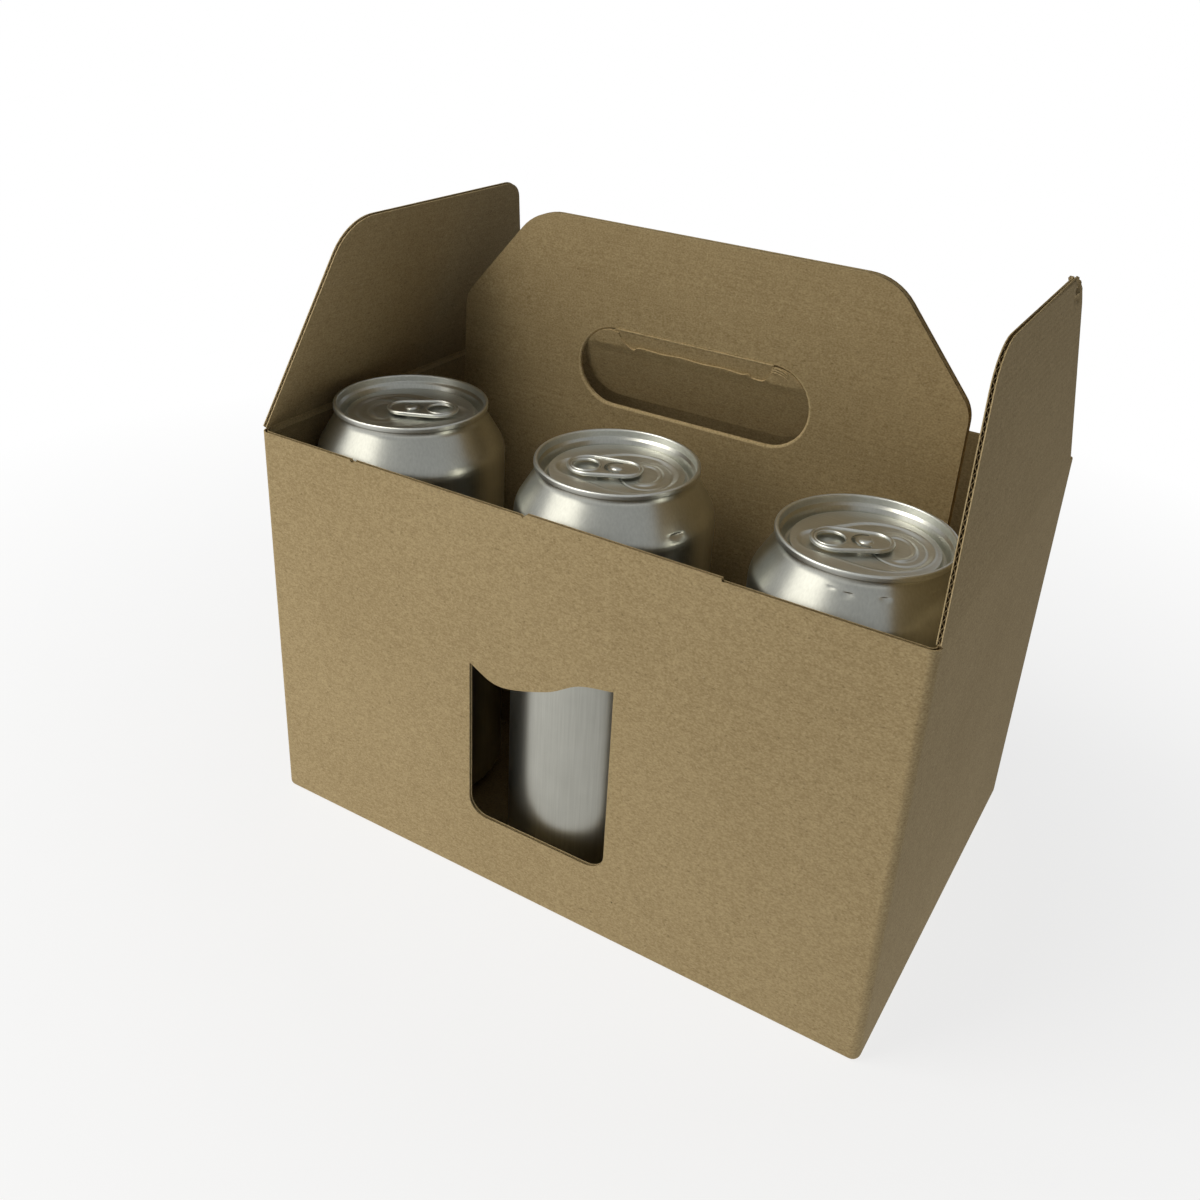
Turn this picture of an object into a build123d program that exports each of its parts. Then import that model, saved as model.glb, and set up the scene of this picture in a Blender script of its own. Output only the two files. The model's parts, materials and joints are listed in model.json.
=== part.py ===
from build123d import *
import os
from math import acos, degrees, radians, tan

os.makedirs("parts", exist_ok=True)

# Board: fine-flute kraft corrugated, one thickness throughout
BOARD = 1.5
UPRIGHT_FOLD_RADIUS = 3.0
BASE_FOLD_RADIUS = 2.0

# Carton
CARTON_LENGTH = 240.0
CARTON_WIDTH = 161.0
CARTON_HEIGHT = 151.5
GLUE_LAP_WIDTH = 28.0
GLUE_LAP_MARGIN = 5.0

# Top edge of the front wall: a land left standing between two breaks, and a nick
LAND_START = -9.5
LAND_LENGTH = 67.0
LAND_HEIGHT = 0.9
NICK_PLACE = -78.5
NICK_WIDTH = 2.0
NICK_DEPTH = 0.8

# Window in the front wall, with a wavy upper edge
WINDOW_LEFT = -30.3
WINDOW_WIDTH = 55.5
WINDOW_SILL = 28.8
WINDOW_LEFT_HEIGHT = 62.5
WINDOW_RIGHT_HEIGHT = 72.7
WINDOW_CORNER_RADIUS = 7.0
WAVE_DIP = 4.8

# Handle: two leaves back to back, each with a foot on the base; rises are from the carton's rim
HANDLE_WIDTH = 194.0
HANDLE_RISE = 70.5
SHOULDER_RISE = 34.5
HANDLE_SLOPE = 50.0
HANDLE_TOP_RADIUS = 20.0
HANDLE_SHOULDER_RADIUS = 12.0
HANDLE_LEAN = 2.2
LEAF_GAP = 0.6
LEAF_FOLD_RADIUS = 2.0
FOOT_CLEARANCE = 0.8

# Hand hole and its grip flap, pushed back on two creases
HOLE_WIDTH = 89.5
HOLE_HEIGHT = 28.0
HOLE_RISE = 20.3
REAR_HOLE_MARGIN = 1.0
GRIP_BAND = 5.5
GRIP_BAND_TILT = 8.0
GRIP_TILT = 18.0
GRIP_KERF = 0.6
GRIP_CREASE_DROP = 1.0
GRIP_NICK = 2.0

# End flaps, hinged on the end walls' top creases
FLAP_HEIGHT = 76.0
FLAP_FRONT_INSET = 0.6
FLAP_REAR_INSET = 6.5
FLAP_FRONT_SLOPE = 16.2
FLAP_REAR_SLOPE = 26.0
FLAP_FRONT_RADIUS = 16.0
FLAP_REAR_RADIUS = 12.0
LEFT_FLAP_LEAN = 17.2
RIGHT_FLAP_LEAN = 3.0
CREASE_OUTSET = 0.2
CREASE_CLEARANCE = 0.2
FLAP_FOOT_BEVEL = 32.0

# Drink cans
CAN_HEIGHT = 157.0
CAN_RADIUS = 33.1
CAN_RIM_RADIUS = 27.0
CAN_SEAM_HEIGHT = 2.2
CAN_SEAM_WIDTH = 1.3
CAN_NECK_RADIUS = 25.9
CAN_SHOULDER_DROP = 16.0
CAN_STAND_RADIUS = 24.0
CAN_STAND_WIDTH = 1.6
CAN_BASE_TAPER = 5.0
CAN_RECESS_HEIGHT = 6.0
CAN_END_CLEARANCE = 0.4
CAN_FRONT_CLEARANCE = 3.6
CAN_HANDLE_CLEARANCE = 7.4

# Can end: countersink, panel, debossed field and tab
PANEL_RADIUS = 22.2
PANEL_DROP = 4.0
SINK_DEPTH = 2.2
SINK_WIDTH = 1.0
PANEL_WALL_FLARE = 0.4
FIELD_DEPTH = 0.4
FIELD_MOUTH_RADIUS = 15.0
FIELD_MOUTH_PLACE = 4.5
FIELD_TAIL_RADIUS = 7.0
FIELD_TAIL_PLACE = -12.5
TAB_THICKNESS = 1.3
TAB_LIFT = 0.7
TAB_TAIL_RADIUS = 7.8
TAB_TAIL_PLACE = -8.8
TAB_NOSE_RADIUS = 6.4
TAB_NOSE_PLACE = 2.2
FINGER_HOLE_RADIUS = 4.3
FINGER_HOLE_PLACE = -10.2
RIVET_WINDOW_RADIUS = 4.3
RIVET_TONGUE_WIDTH = 5.6
RIVET_RADIUS = 2.4
RIVET_HEIGHT = 0.5

# Heights above the table
HANDLE_TOP = CARTON_HEIGHT + HANDLE_RISE
HANDLE_SHOULDER = CARTON_HEIGHT + SHOULDER_RISE
HOLE_MIDDLE = CARTON_HEIGHT + HOLE_RISE

# The front row of cans runs along the front wall, and the handle stands behind it
CAN_ROW = -CARTON_WIDTH / 2 + BOARD + CAN_FRONT_CLEARANCE + CAN_RADIUS
HANDLE_PLACE = CAN_ROW + CAN_RADIUS + CAN_HANDLE_CLEARANCE + BOARD + LEAF_GAP / 2

# Which way each can's mouth points, seen from above
CANS = {"can_left": (-1, 212.0), "can_middle": (0, 22.0), "can_right": (1, 26.0)}


def upright(sketch, depth):
    """Stand a sketch up in the XZ plane and thicken it evenly both ways along Y."""
    return extrude(Plane.XZ * sketch, amount=depth / 2, both=True)


def window_outline():
    """Window with a level sill, round lower corners and a wave along the top."""
    right = WINDOW_LEFT + WINDOW_WIDTH
    top_left = WINDOW_SILL + WINDOW_LEFT_HEIGHT
    top_right = WINDOW_SILL + WINDOW_RIGHT_HEIGHT
    sides = FilletPolyline(
        (WINDOW_LEFT, top_left), (WINDOW_LEFT, WINDOW_SILL), (right, WINDOW_SILL), (right, top_right),
        radius=[WINDOW_CORNER_RADIUS, WINDOW_CORNER_RADIUS],
    )
    rise = WINDOW_RIGHT_HEIGHT - WINDOW_LEFT_HEIGHT
    wave = Spline(
        (WINDOW_LEFT, top_left),
        (WINDOW_LEFT + 0.22 * WINDOW_WIDTH, top_left - WAVE_DIP),
        (WINDOW_LEFT + 0.55 * WINDOW_WIDTH, top_left + 0.03 * rise),
        (WINDOW_LEFT + 0.77 * WINDOW_WIDTH, top_left + 0.72 * rise),
        (right, top_right),
    )
    return make_face(sides + wave)


def make_carton():
    """Four walls and a base folded from one sheet, open at the top."""
    outside = RectangleRounded(CARTON_LENGTH, CARTON_WIDTH, UPRIGHT_FOLD_RADIUS)
    inside = RectangleRounded(
        CARTON_LENGTH - 2 * BOARD, CARTON_WIDTH - 2 * BOARD, UPRIGHT_FOLD_RADIUS - BOARD
    )
    block = extrude(outside, amount=CARTON_HEIGHT)
    block = fillet(block.faces().sort_by(Axis.Z)[0].edges(), BASE_FOLD_RADIUS)
    carton = block - Pos(Z=BOARD) * extrude(inside, amount=CARTON_HEIGHT)

    front = -CARTON_WIDTH / 2 + BOARD / 2
    carton -= Pos(Y=front) * upright(window_outline(), 4 * BOARD)
    carton += Pos(LAND_START + LAND_LENGTH / 2, front, CARTON_HEIGHT) * Box(
        LAND_LENGTH, BOARD, LAND_HEIGHT, align=(Align.CENTER, Align.CENTER, Align.MIN)
    )
    carton -= Pos(NICK_PLACE, front, CARTON_HEIGHT) * Box(NICK_WIDTH, 2 * BOARD, 2 * NICK_DEPTH)

    # The end walls stop just under their creases
    crease_gap = Box(
        2 * BOARD, CARTON_WIDTH - 2 * UPRIGHT_FOLD_RADIUS, 2 * CREASE_CLEARANCE
    )
    for side in (-1, 1):
        carton -= Pos(side * CARTON_LENGTH / 2, 0, CARTON_HEIGHT) * crease_gap

    # The lap carries on round the rear left fold and is glued inside the rear wall
    lap_height = CARTON_HEIGHT - BOARD - 2 * GLUE_LAP_MARGIN
    carton += Pos(
        -CARTON_LENGTH / 2 + BOARD, CARTON_WIDTH / 2 - BOARD, BOARD + GLUE_LAP_MARGIN
    ) * Box(GLUE_LAP_WIDTH, BOARD, lap_height, align=(Align.MIN, Align.MAX, Align.MIN))
    return carton


def handle_outline():
    """Straight sides, sloping shoulders and a level top, all with rounded corners."""
    half = HANDLE_WIDTH / 2
    half_top = half - (HANDLE_TOP - HANDLE_SHOULDER) / tan(radians(HANDLE_SLOPE))
    return make_face(
        FilletPolyline(
            (-half, 0), (-half, HANDLE_SHOULDER), (-half_top, HANDLE_TOP),
            (half_top, HANDLE_TOP), (half, HANDLE_SHOULDER), (half, 0),
            radius=[
                0, HANDLE_SHOULDER_RADIUS, HANDLE_TOP_RADIUS,
                HANDLE_TOP_RADIUS, HANDLE_SHOULDER_RADIUS, 0,
            ],
            close=True,
        )
    )


def hole_outline(margin):
    """Round-ended hand hole, larger all round by a margin."""
    return Pos(Y=HOLE_MIDDLE) * SlotOverall(HOLE_WIDTH + 2 * margin, HOLE_HEIGHT + 2 * margin)


def folded_leaf(side, hole_margin):
    """A leaf with its foot: side -1 is the front one, side 1 the rear one."""
    lean = tan(radians(HANDLE_LEAN))
    middle = HANDLE_PLACE + side * (BOARD + LEAF_GAP) / 2
    foot_level = 1.5 * BOARD
    foot_end = side * (CARTON_WIDTH / 2 - BOARD - FOOT_CLEARANCE)
    line = FilletPolyline(
        (foot_end, foot_level),
        (middle + foot_level * lean, foot_level),
        (middle + 1.1 * HANDLE_TOP * lean, 1.1 * HANDLE_TOP),
        radius=[LEAF_FOLD_RADIUS],
    )
    foot_length = CARTON_LENGTH - 2 * BOARD - 2 * FOOT_CLEARANCE
    sheet = extrude(Plane.YZ * trace(line, BOARD), amount=foot_length / 2, both=True)
    foot_zone = Box(
        CARTON_LENGTH, CARTON_WIDTH, 2 * BOARD, align=(Align.CENTER, Align.CENTER, Align.MIN)
    )
    leaf_zone = upright(handle_outline() - hole_outline(hole_margin), CARTON_WIDTH)
    return sheet & (foot_zone + leaf_zone)


def grip_flap():
    """The hand hole's own board, hanging behind it from a crease along the hole's straight top edge."""
    lean = tan(radians(HANDLE_LEAN))
    hole_top = HOLE_MIDDLE + HOLE_HEIGHT / 2
    crease = hole_top - GRIP_CREASE_DROP
    middle = HANDLE_PLACE - (BOARD + LEAF_GAP) / 2
    root = (middle + (hole_top + BOARD) * lean, hole_top + BOARD)
    start = (middle + crease * lean, crease)
    bend = (start[0] + GRIP_BAND * tan(radians(GRIP_BAND_TILT)), crease - GRIP_BAND)
    drop = HOLE_HEIGHT - GRIP_BAND
    end = (bend[0] + drop * tan(radians(GRIP_TILT)), bend[1] - drop)
    strip = extrude(Plane.YZ * trace(Polyline(root, start, bend, end), BOARD), amount=HOLE_WIDTH, both=True)
    width = HOLE_WIDTH - 2 * GRIP_KERF
    height = HOLE_HEIGHT - 2 * GRIP_KERF
    field = Pos(Y=HOLE_MIDDLE) * SlotOverall(width, height)
    neck = Pos(Y=hole_top) * Rectangle(width - height - 2 * GRIP_NICK, 2 * GRIP_KERF)
    return strip & upright(field + neck, CARTON_WIDTH)


def make_flap(side, lean):
    """An end flap, made upright over the right-hand crease and leaned inwards about it."""
    front = -CARTON_WIDTH / 2 + FLAP_FRONT_INSET
    rear = CARTON_WIDTH / 2 - FLAP_REAR_INSET
    top_front = front + FLAP_HEIGHT * tan(radians(FLAP_FRONT_SLOPE))
    top_rear = rear - FLAP_HEIGHT * tan(radians(FLAP_REAR_SLOPE))
    outline = make_face(
        FilletPolyline(
            (front, 0), (top_front, FLAP_HEIGHT), (top_rear, FLAP_HEIGHT), (rear, 0),
            radius=[0, FLAP_FRONT_RADIUS, FLAP_REAR_RADIUS, 0],
            close=True,
        )
    )
    plate = Pos(X=-CREASE_OUTSET - BOARD) * extrude(Plane.YZ * outline, amount=BOARD)
    # The foot is cut back at a slant, so that the flap can lean in over the wall
    slant = BOARD * tan(radians(FLAP_FOOT_BEVEL))
    foot = make_face(
        Polyline(
            (-CREASE_OUTSET, 0), (-CREASE_OUTSET, CREASE_CLEARANCE),
            (-CREASE_OUTSET - BOARD, CREASE_CLEARANCE + slant), (-CREASE_OUTSET - BOARD, 0),
            close=True,
        )
    )
    plate -= upright(foot, 2 * CARTON_WIDTH)
    leaned = Rot(Y=-lean) * plate
    if side < 0:
        leaned = mirror(leaned, about=Plane.YZ)
    return Pos(side * (CARTON_LENGTH / 2 + CREASE_OUTSET), 0, CARTON_HEIGHT) * leaned


def can_shell():
    """A drawn and necked can with its seamed end, turned about its axis as one solid."""
    top = CAN_HEIGHT
    seam_foot = top - CAN_SEAM_HEIGHT
    panel = top - PANEL_DROP
    sink = panel - SINK_DEPTH
    sink_inside = PANEL_RADIUS + PANEL_WALL_FLARE
    sink_outside = sink_inside + SINK_WIDTH
    profile = make_face(
        Polyline(
            (0, CAN_RECESS_HEIGHT),
            (CAN_STAND_RADIUS - CAN_STAND_WIDTH / 2, CAN_RECESS_HEIGHT),
            (CAN_STAND_RADIUS - CAN_STAND_WIDTH / 2, 0),
            (CAN_STAND_RADIUS + CAN_STAND_WIDTH / 2, 0),
            (CAN_RADIUS, CAN_BASE_TAPER),
            (CAN_RADIUS, top - CAN_SHOULDER_DROP),
            (CAN_NECK_RADIUS, seam_foot),
            (CAN_RIM_RADIUS, seam_foot),
            (CAN_RIM_RADIUS, top),
            (CAN_RIM_RADIUS - CAN_SEAM_WIDTH, top),
            (sink_outside, sink),
            (sink_inside, sink),
            (PANEL_RADIUS, panel),
            (0, panel),
            close=True,
        )
    )
    return revolve(Plane.XZ * profile, axis=Axis.Z)


def pear(tail_place, tail_radius, nose_place, nose_radius):
    """Two circles on the X axis with the straight tangents that join them."""
    turn = degrees(acos((tail_radius - nose_radius) / (nose_place - tail_place)))
    nose = CenterArc((nose_place, 0), nose_radius, -turn, 2 * turn)
    tail = CenterArc((tail_place, 0), tail_radius, turn, 360 - 2 * turn)
    return make_face(nose + tail + Line(nose @ 1, tail @ 0) + Line(tail @ 1, nose @ 0))


def can_tab():
    """Stay-on tab with a finger hole and a tongue round its rivet."""
    outline = pear(TAB_TAIL_PLACE, TAB_TAIL_RADIUS, TAB_NOSE_PLACE, TAB_NOSE_RADIUS)
    finger_hole = Pos(X=FINGER_HOLE_PLACE) * Circle(FINGER_HOLE_RADIUS)
    tongue = Rectangle(2 * RIVET_WINDOW_RADIUS, RIVET_TONGUE_WIDTH, align=(Align.MIN, Align.CENTER))
    rivet_window = Circle(RIVET_WINDOW_RADIUS) - tongue - Circle(RIVET_TONGUE_WIDTH / 2)
    tab = extrude(outline, amount=TAB_THICKNESS)
    tab -= extrude(finger_hole + rivet_window, amount=3 * TAB_THICKNESS, both=True)
    rivet_length = TAB_LIFT + TAB_THICKNESS + RIVET_HEIGHT
    return tab + Pos(Z=-TAB_LIFT) * Cylinder(
        RIVET_RADIUS, rivet_length, align=(Align.CENTER, Align.CENTER, Align.MIN)
    )


def end_can_place():
    """How far the end cans stand from the middle, clear of the end walls and of flaps leaning in over them."""
    lean = tan(radians(max(LEFT_FLAP_LEAN, RIGHT_FLAP_LEAN)))
    rim_rise = max(2 * BOARD + CAN_HEIGHT - CARTON_HEIGHT, 0)
    shoulder_rise = max(rim_rise - CAN_SHOULDER_DROP, 0)
    room = max(CAN_RADIUS + shoulder_rise * lean, CAN_RIM_RADIUS + rim_rise * lean)
    return CARTON_LENGTH / 2 - BOARD - CAN_END_CLEARANCE - room


def make_can():
    """One sealed can standing at the origin, its mouth towards +X."""
    panel = CAN_HEIGHT - PANEL_DROP
    field = pear(FIELD_TAIL_PLACE, FIELD_TAIL_RADIUS, FIELD_MOUTH_PLACE, FIELD_MOUTH_RADIUS)
    floor = panel - FIELD_DEPTH
    can = can_shell()
    can -= Pos(Z=floor) * extrude(field, amount=2 * FIELD_DEPTH)
    return can + Pos(Z=floor + TAB_LIFT) * can_tab()


export_step(make_carton(), "parts/carton.step")
export_step(folded_leaf(-1, 0.0) + grip_flap(), "parts/front_handle_leaf.step")
export_step(folded_leaf(1, REAR_HOLE_MARGIN), "parts/rear_handle_leaf.step")
export_step(make_flap(-1, LEFT_FLAP_LEAN), "parts/left_end_flap.step")
export_step(make_flap(1, RIGHT_FLAP_LEAN), "parts/right_end_flap.step")

can = make_can()
for name, (place, turn) in CANS.items():
    stand = Pos(place * end_can_place(), CAN_ROW, 2 * BOARD)
    export_step(stand * Rot(Z=turn) * can, f"parts/{name}.step")
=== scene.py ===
import json
import math

import bmesh
import bpy
from mathutils import Matrix, Vector, noise
from mathutils.geometry import delaunay_2d_cdt


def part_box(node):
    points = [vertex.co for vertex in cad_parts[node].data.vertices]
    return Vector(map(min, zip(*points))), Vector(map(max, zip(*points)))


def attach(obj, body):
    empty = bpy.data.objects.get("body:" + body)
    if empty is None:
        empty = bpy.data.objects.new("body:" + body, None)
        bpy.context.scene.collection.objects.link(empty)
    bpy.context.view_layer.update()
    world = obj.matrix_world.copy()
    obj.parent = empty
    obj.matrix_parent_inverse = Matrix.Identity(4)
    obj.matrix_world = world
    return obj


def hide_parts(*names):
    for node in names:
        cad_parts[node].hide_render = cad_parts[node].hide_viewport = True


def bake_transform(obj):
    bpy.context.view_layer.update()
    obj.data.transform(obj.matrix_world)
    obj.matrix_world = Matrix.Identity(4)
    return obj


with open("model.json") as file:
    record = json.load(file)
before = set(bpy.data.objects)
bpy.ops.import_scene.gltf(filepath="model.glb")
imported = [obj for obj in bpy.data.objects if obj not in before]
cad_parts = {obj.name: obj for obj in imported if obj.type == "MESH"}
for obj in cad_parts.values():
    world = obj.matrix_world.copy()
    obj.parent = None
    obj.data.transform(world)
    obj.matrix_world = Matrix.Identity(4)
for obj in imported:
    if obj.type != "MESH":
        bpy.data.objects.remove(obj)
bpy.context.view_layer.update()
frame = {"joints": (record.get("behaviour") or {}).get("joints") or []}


# Carton walls. One sheet of fine-flute kraft corrugated board, die-cut with a wavy window, folded into
# four walls and closed by a lap glued inside the rear one. Cut edges show two liners and the fluting.
# Sizes here and below are in millimetres; a mesh is brought to metres when it is finished.
BOARD = 1.5
LINER = 0.3
MEDIUM = 0.2
FLUTE = 2.3
FLUTE_STEPS = 8
CUT_DEPTH = 5.0
CUT_INSET = 0.12
SHORTEST_RUN = 0.3
SEEN_DEPTH = 4.0
CRUSHED_HEIGHT = 0.13
SKIN_GAP = 0.01
FLUTING_SLOT = 1
CREASED_SLOT = 2
WALL_FOLD = 3.0
BASE_FOLD = 2.0
LAP_WIDTH = 28.0
LAP_MARGIN = 5.0
LAP_TAPER = 4.0
LAP_FOLD = 2.0
LAP_GAP = 0.1
REAR_EDGE_INSET = 0.4
CREASE_REACH = 1.7
FLAP_REAR = 74.0
RIM_BREAK = [(57.5, 0.0), (57.2, 0.9), (-9.0, 0.9), (-9.6, 0.2), (-10.4, -0.5), (-11.2, 0.0)]
RIM_NICK = [(-77.5, 0.0), (-77.8, -0.7), (-78.9, -0.8), (-79.5, 0.0)]
WINDOW_LEFT = -30.3
WINDOW_RIGHT = 25.2
WINDOW_FOOT = 28.8
WINDOW_CORNER = 7.0
WINDOW_WAVE = [(WINDOW_RIGHT, 101.5), (12.4, 98.6), (0.2, 91.6), (-18.1, 86.5), (WINDOW_LEFT, 91.3)]
WINDOW_FOOT_BAND = (26, 29)
WINDOW_WAVE_BAND = (85, 104)

carton_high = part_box("carton")[1] * 1000
half_length = carton_high.x
half_width = carton_high.y
rim = frame["joints"][0]["pos_m"][2] * 1000


class FoldedLine:
    """Straight runs joined by arcs, as a creased sheet shows on edge. Depth is measured to the left."""

    def __init__(self, corners, radii):
        corners = [Vector(corner) for corner in corners]
        self.pieces = []
        self.folds = []
        self.length = 0.0
        start = corners[0]
        for before, corner, after, radius in zip(corners, corners[1:], corners[2:], radii):
            way_in = (corner - before).normalized()
            way_out = (after - corner).normalized()
            turn = math.atan2(way_in.cross(way_out), way_in.dot(way_out))
            reach = radius * math.tan(abs(turn) / 2)
            end = corner - way_in * reach
            self.add_run(start, way_in, (end - start).length)
            self.add_arc(end, way_in, turn, radius)
            start = corner + way_out * reach
        way_in = (corners[-1] - corners[-2]).normalized()
        self.add_run(start, way_in, (corners[-1] - start).length)

    def add_run(self, start, way, length):
        self.pieces.append((self.length, length, start, way, 0.0, 0.0))
        self.length += length

    def add_arc(self, start, way, turn, radius):
        length = abs(turn) * radius
        self.pieces.append((self.length, length, start, way, turn, radius))
        self.folds.append((self.length, self.length + length))
        self.length += length

    def at(self, along, depth=0.0):
        """The point at a length along the outside, and a depth to its left."""
        for begin, length, start, way, turn, radius in self.pieces:
            if along <= begin + length:
                break
        left = Vector((-way.y, way.x))
        if not radius or not length:
            return start + way * (along - begin) + left * depth
        side = math.copysign(1.0, turn)
        angle = turn * (along - begin) / length
        spoke = Matrix.Rotation(angle, 2) @ (-left * side)
        return start + left * side * radius + spoke * (radius - side * depth)

    def bends(self, steps=8):
        """Stations round every arc."""
        return [
            start + (end - start) * k / steps
            for start, end in self.folds
            for k in range(steps + 1)
        ]

    def points(self, steps=8):
        """The whole line as points, close together round its arcs."""
        stations = sorted({0.0, self.length, *[round(bend, 6) for bend in self.bends(steps)]})
        return [self.at(station) for station in stations]


def rounded(corners, radii):
    """A closed outline with round corners."""
    seam = (Vector(corners[-1]) + Vector(corners[0])) / 2
    return [tuple(point) for point in FoldedLine([seam, *corners, seam], radii).points()[:-1]]


def smooth(points, steps=8):
    """A curve through all the points."""
    points = [Vector(point) for point in points]
    padded = [2 * points[0] - points[1], *points, 2 * points[-1] - points[-2]]
    curve = []
    for a, b, c, d in zip(padded, padded[1:], padded[2:], padded[3:]):
        for k in range(steps):
            t = k / steps
            bend = (2 * a - 5 * b + 4 * c - d) * t**2
            twist = (3 * b - a - 3 * c + d) * t**3
            curve.append((2 * b + (c - a) * t + bend + twist) / 2)
    return [tuple(point) for point in [*curve, points[-1]]]


def crossings(loops, level):
    """Where the outlines cross one level of the flat, in order."""
    found = []
    for loop in loops:
        for (u0, v0), (u1, v1) in zip(loop, [*loop[1:], loop[0]]):
            if (v0 <= level) != (v1 <= level):
                found.append(u0 + (u1 - u0) * (level - v0) / (v1 - v0))
    return sorted(found)


def filled(loops, grid):
    """Triangles over an outline less its holes, with grid points inside it so that it can bend."""
    points = []
    edges = []
    for loop in loops:
        first = len(points)
        points += loop
        edges += [(first + k, first + (k + 1) % len(loop)) for k in range(len(loop))]
    points += grid
    flat, _, faces, *_ = delaunay_2d_cdt([Vector(point) for point in points], edges, [], 1, 1e-5)
    middles = [sum((flat[k] for k in face), Vector((0, 0))) / 3 for face in faces]
    inside = [sum(u < middle.x for u in crossings(loops, middle.y)) % 2 for middle in middles]
    return flat, [face for face, kept in zip(faces, inside) if kept]


def slab(mesh, flat, faces, place, outer, inner, under_material=0, edge_material=0):
    """A closed skin of the flat shape between two depths, folded into place."""
    used = sorted({corner for face in faces for corner in face})
    top = {k: mesh.verts.new(place(flat[k].x, flat[k].y, outer)) for k in used}
    under = {k: mesh.verts.new(place(flat[k].x, flat[k].y, inner)) for k in used}
    sides = {(a, b) for face in faces for a, b in zip(face, [*face[1:], face[0]])}
    for face in faces:
        mesh.faces.new([top[k] for k in face])
        mesh.faces.new([under[k] for k in reversed(face)]).material_index = under_material
    for a, b in sides:
        if (b, a) not in sides:
            mesh.faces.new((top[b], top[a], under[a], under[b])).material_index = edge_material


def board_runs(loops, level, whole, bends):
    """The runs of board along one level of the flat, each as stations from end to end."""
    ends = crossings(loops, level)
    runs = []
    for start, end in zip(ends[::2], ends[1::2]):
        start += CUT_INSET
        end -= CUT_INSET
        if end - start < SHORTEST_RUN:
            continue
        if end - start < 2 * CUT_DEPTH or any(low <= level <= high for low, high in whole):
            runs.append([start, *[bend for bend in bends if start < bend < end], end])
        else:
            runs.append([start, start + CUT_DEPTH])
            runs.append([end - CUT_DEPTH, end])
    return runs


def fluting(mesh, loops, place, whole, bends):
    """The waved paper between the liners, made where a cut edge shows it."""
    levels = [level for loop in loops for _, level in loop]
    step = FLUTE / FLUTE_STEPS
    swing = (BOARD - 2 * LINER - MEDIUM) / 2
    chains = []
    growing = []
    for row in range(int((max(levels) - min(levels)) / step)):
        level = min(levels) + (row + 0.5) * step
        depth = BOARD / 2 + swing * math.sin(math.tau * level / FLUTE)
        runs = board_runs(loops, level, whole, bends)
        rings = [
            [place(u, level, depth - MEDIUM / 2) for u in run]
            + [place(u, level, depth + MEDIUM / 2) for u in reversed(run)]
            for run in runs
        ]
        if [len(ring) for ring in rings] != [len(chain[-1]) for chain in growing]:
            chains += growing
            growing = [[] for _ in rings]
        for chain, ring in zip(growing, rings):
            chain.append(ring)
    for chain in chains + growing:
        if len(chain) > 1:
            tube(mesh, chain, closed=False, material=FLUTING_SLOT)


def tube(mesh, rings, closed, material=0):
    """A skin over rings of equal length, either joined end to end or capped."""
    rings = [[mesh.verts.new(point) for point in ring] for ring in rings]
    pairs = list(zip(rings, rings[1:]))
    faces = []
    if closed:
        pairs.append((rings[-1], rings[0]))
    else:
        faces += [mesh.faces.new(rings[0]), mesh.faces.new(list(reversed(rings[-1])))]
    for low, high in pairs:
        for k in range(len(low)):
            n = (k + 1) % len(low)
            faces.append(mesh.faces.new((low[n], low[k], high[k], high[n])))
    for face in faces:
        face.material_index = material


def finished(name, mesh, *materials, crisp=35):
    """Turn the mesh into a piece of the scene, in metres."""
    bmesh.ops.recalc_face_normals(mesh, faces=mesh.faces)
    bmesh.ops.scale(mesh, vec=(0.001, 0.001, 0.001), verts=mesh.verts)
    data = bpy.data.meshes.new(name)
    mesh.to_mesh(data)
    mesh.free()
    data.shade_smooth()
    data.set_sharp_from_angle(angle=math.radians(crisp))
    for material in materials:
        data.materials.append(material)
    piece = bpy.data.objects.new(name, data)
    bpy.context.scene.collection.objects.link(piece)
    piece.modifiers.new("even_shading", "WEIGHTED_NORMAL").keep_sharp = True
    return piece


def corrugated(name, loops, place, grid=(), whole=(), bends=(), crushed=()):
    """A piece of board cut to an outline in the flat, with holes, and folded into place.

    The fluting runs right across at the whole levels, and is pressed shut along the crushed edges.
    """
    mesh = bmesh.new()
    flat, faces = filled(loops, list(grid))
    slab(mesh, flat, faces, place, 0.0, LINER, edge_material=CREASED_SLOT)
    slab(mesh, flat, faces, place, BOARD - LINER, BOARD, edge_material=CREASED_SLOT)
    fluting(mesh, loops, place, whole, bends)
    for start, end, level in crushed:
        low = level - CRUSHED_HEIGHT
        high = level - SKIN_GAP
        flat, faces = filled([[(start, low), (end, low), (end, high), (start, high)]], [])
        outer = LINER + SKIN_GAP
        slab(mesh, flat, faces, place, outer, BOARD - outer, CREASED_SLOT, CREASED_SLOT)
    return finished(name, mesh, liner_paper, fluting_paper, creased_paper)


class Wire:
    """A shader socket that takes part in Python arithmetic."""

    def __init__(self, shading, socket):
        self.shading = shading
        self.socket = socket

    def __getitem__(self, output):
        return Wire(self.shading, self.socket.node.outputs[output])

    def work(self, operation, first, second):
        return self.shading.node("ShaderNodeMath", {"operation": operation}, {0: first, 1: second})

    def __add__(self, other):
        return self.work("ADD", self, other)

    def __sub__(self, other):
        return self.work("SUBTRACT", self, other)

    def __mul__(self, other):
        return self.work("MULTIPLY", self, other)

    def __radd__(self, other):
        return self.work("ADD", other, self)

    def __rsub__(self, other):
        return self.work("SUBTRACT", other, self)

    def __rmul__(self, other):
        return self.work("MULTIPLY", other, self)


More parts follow.
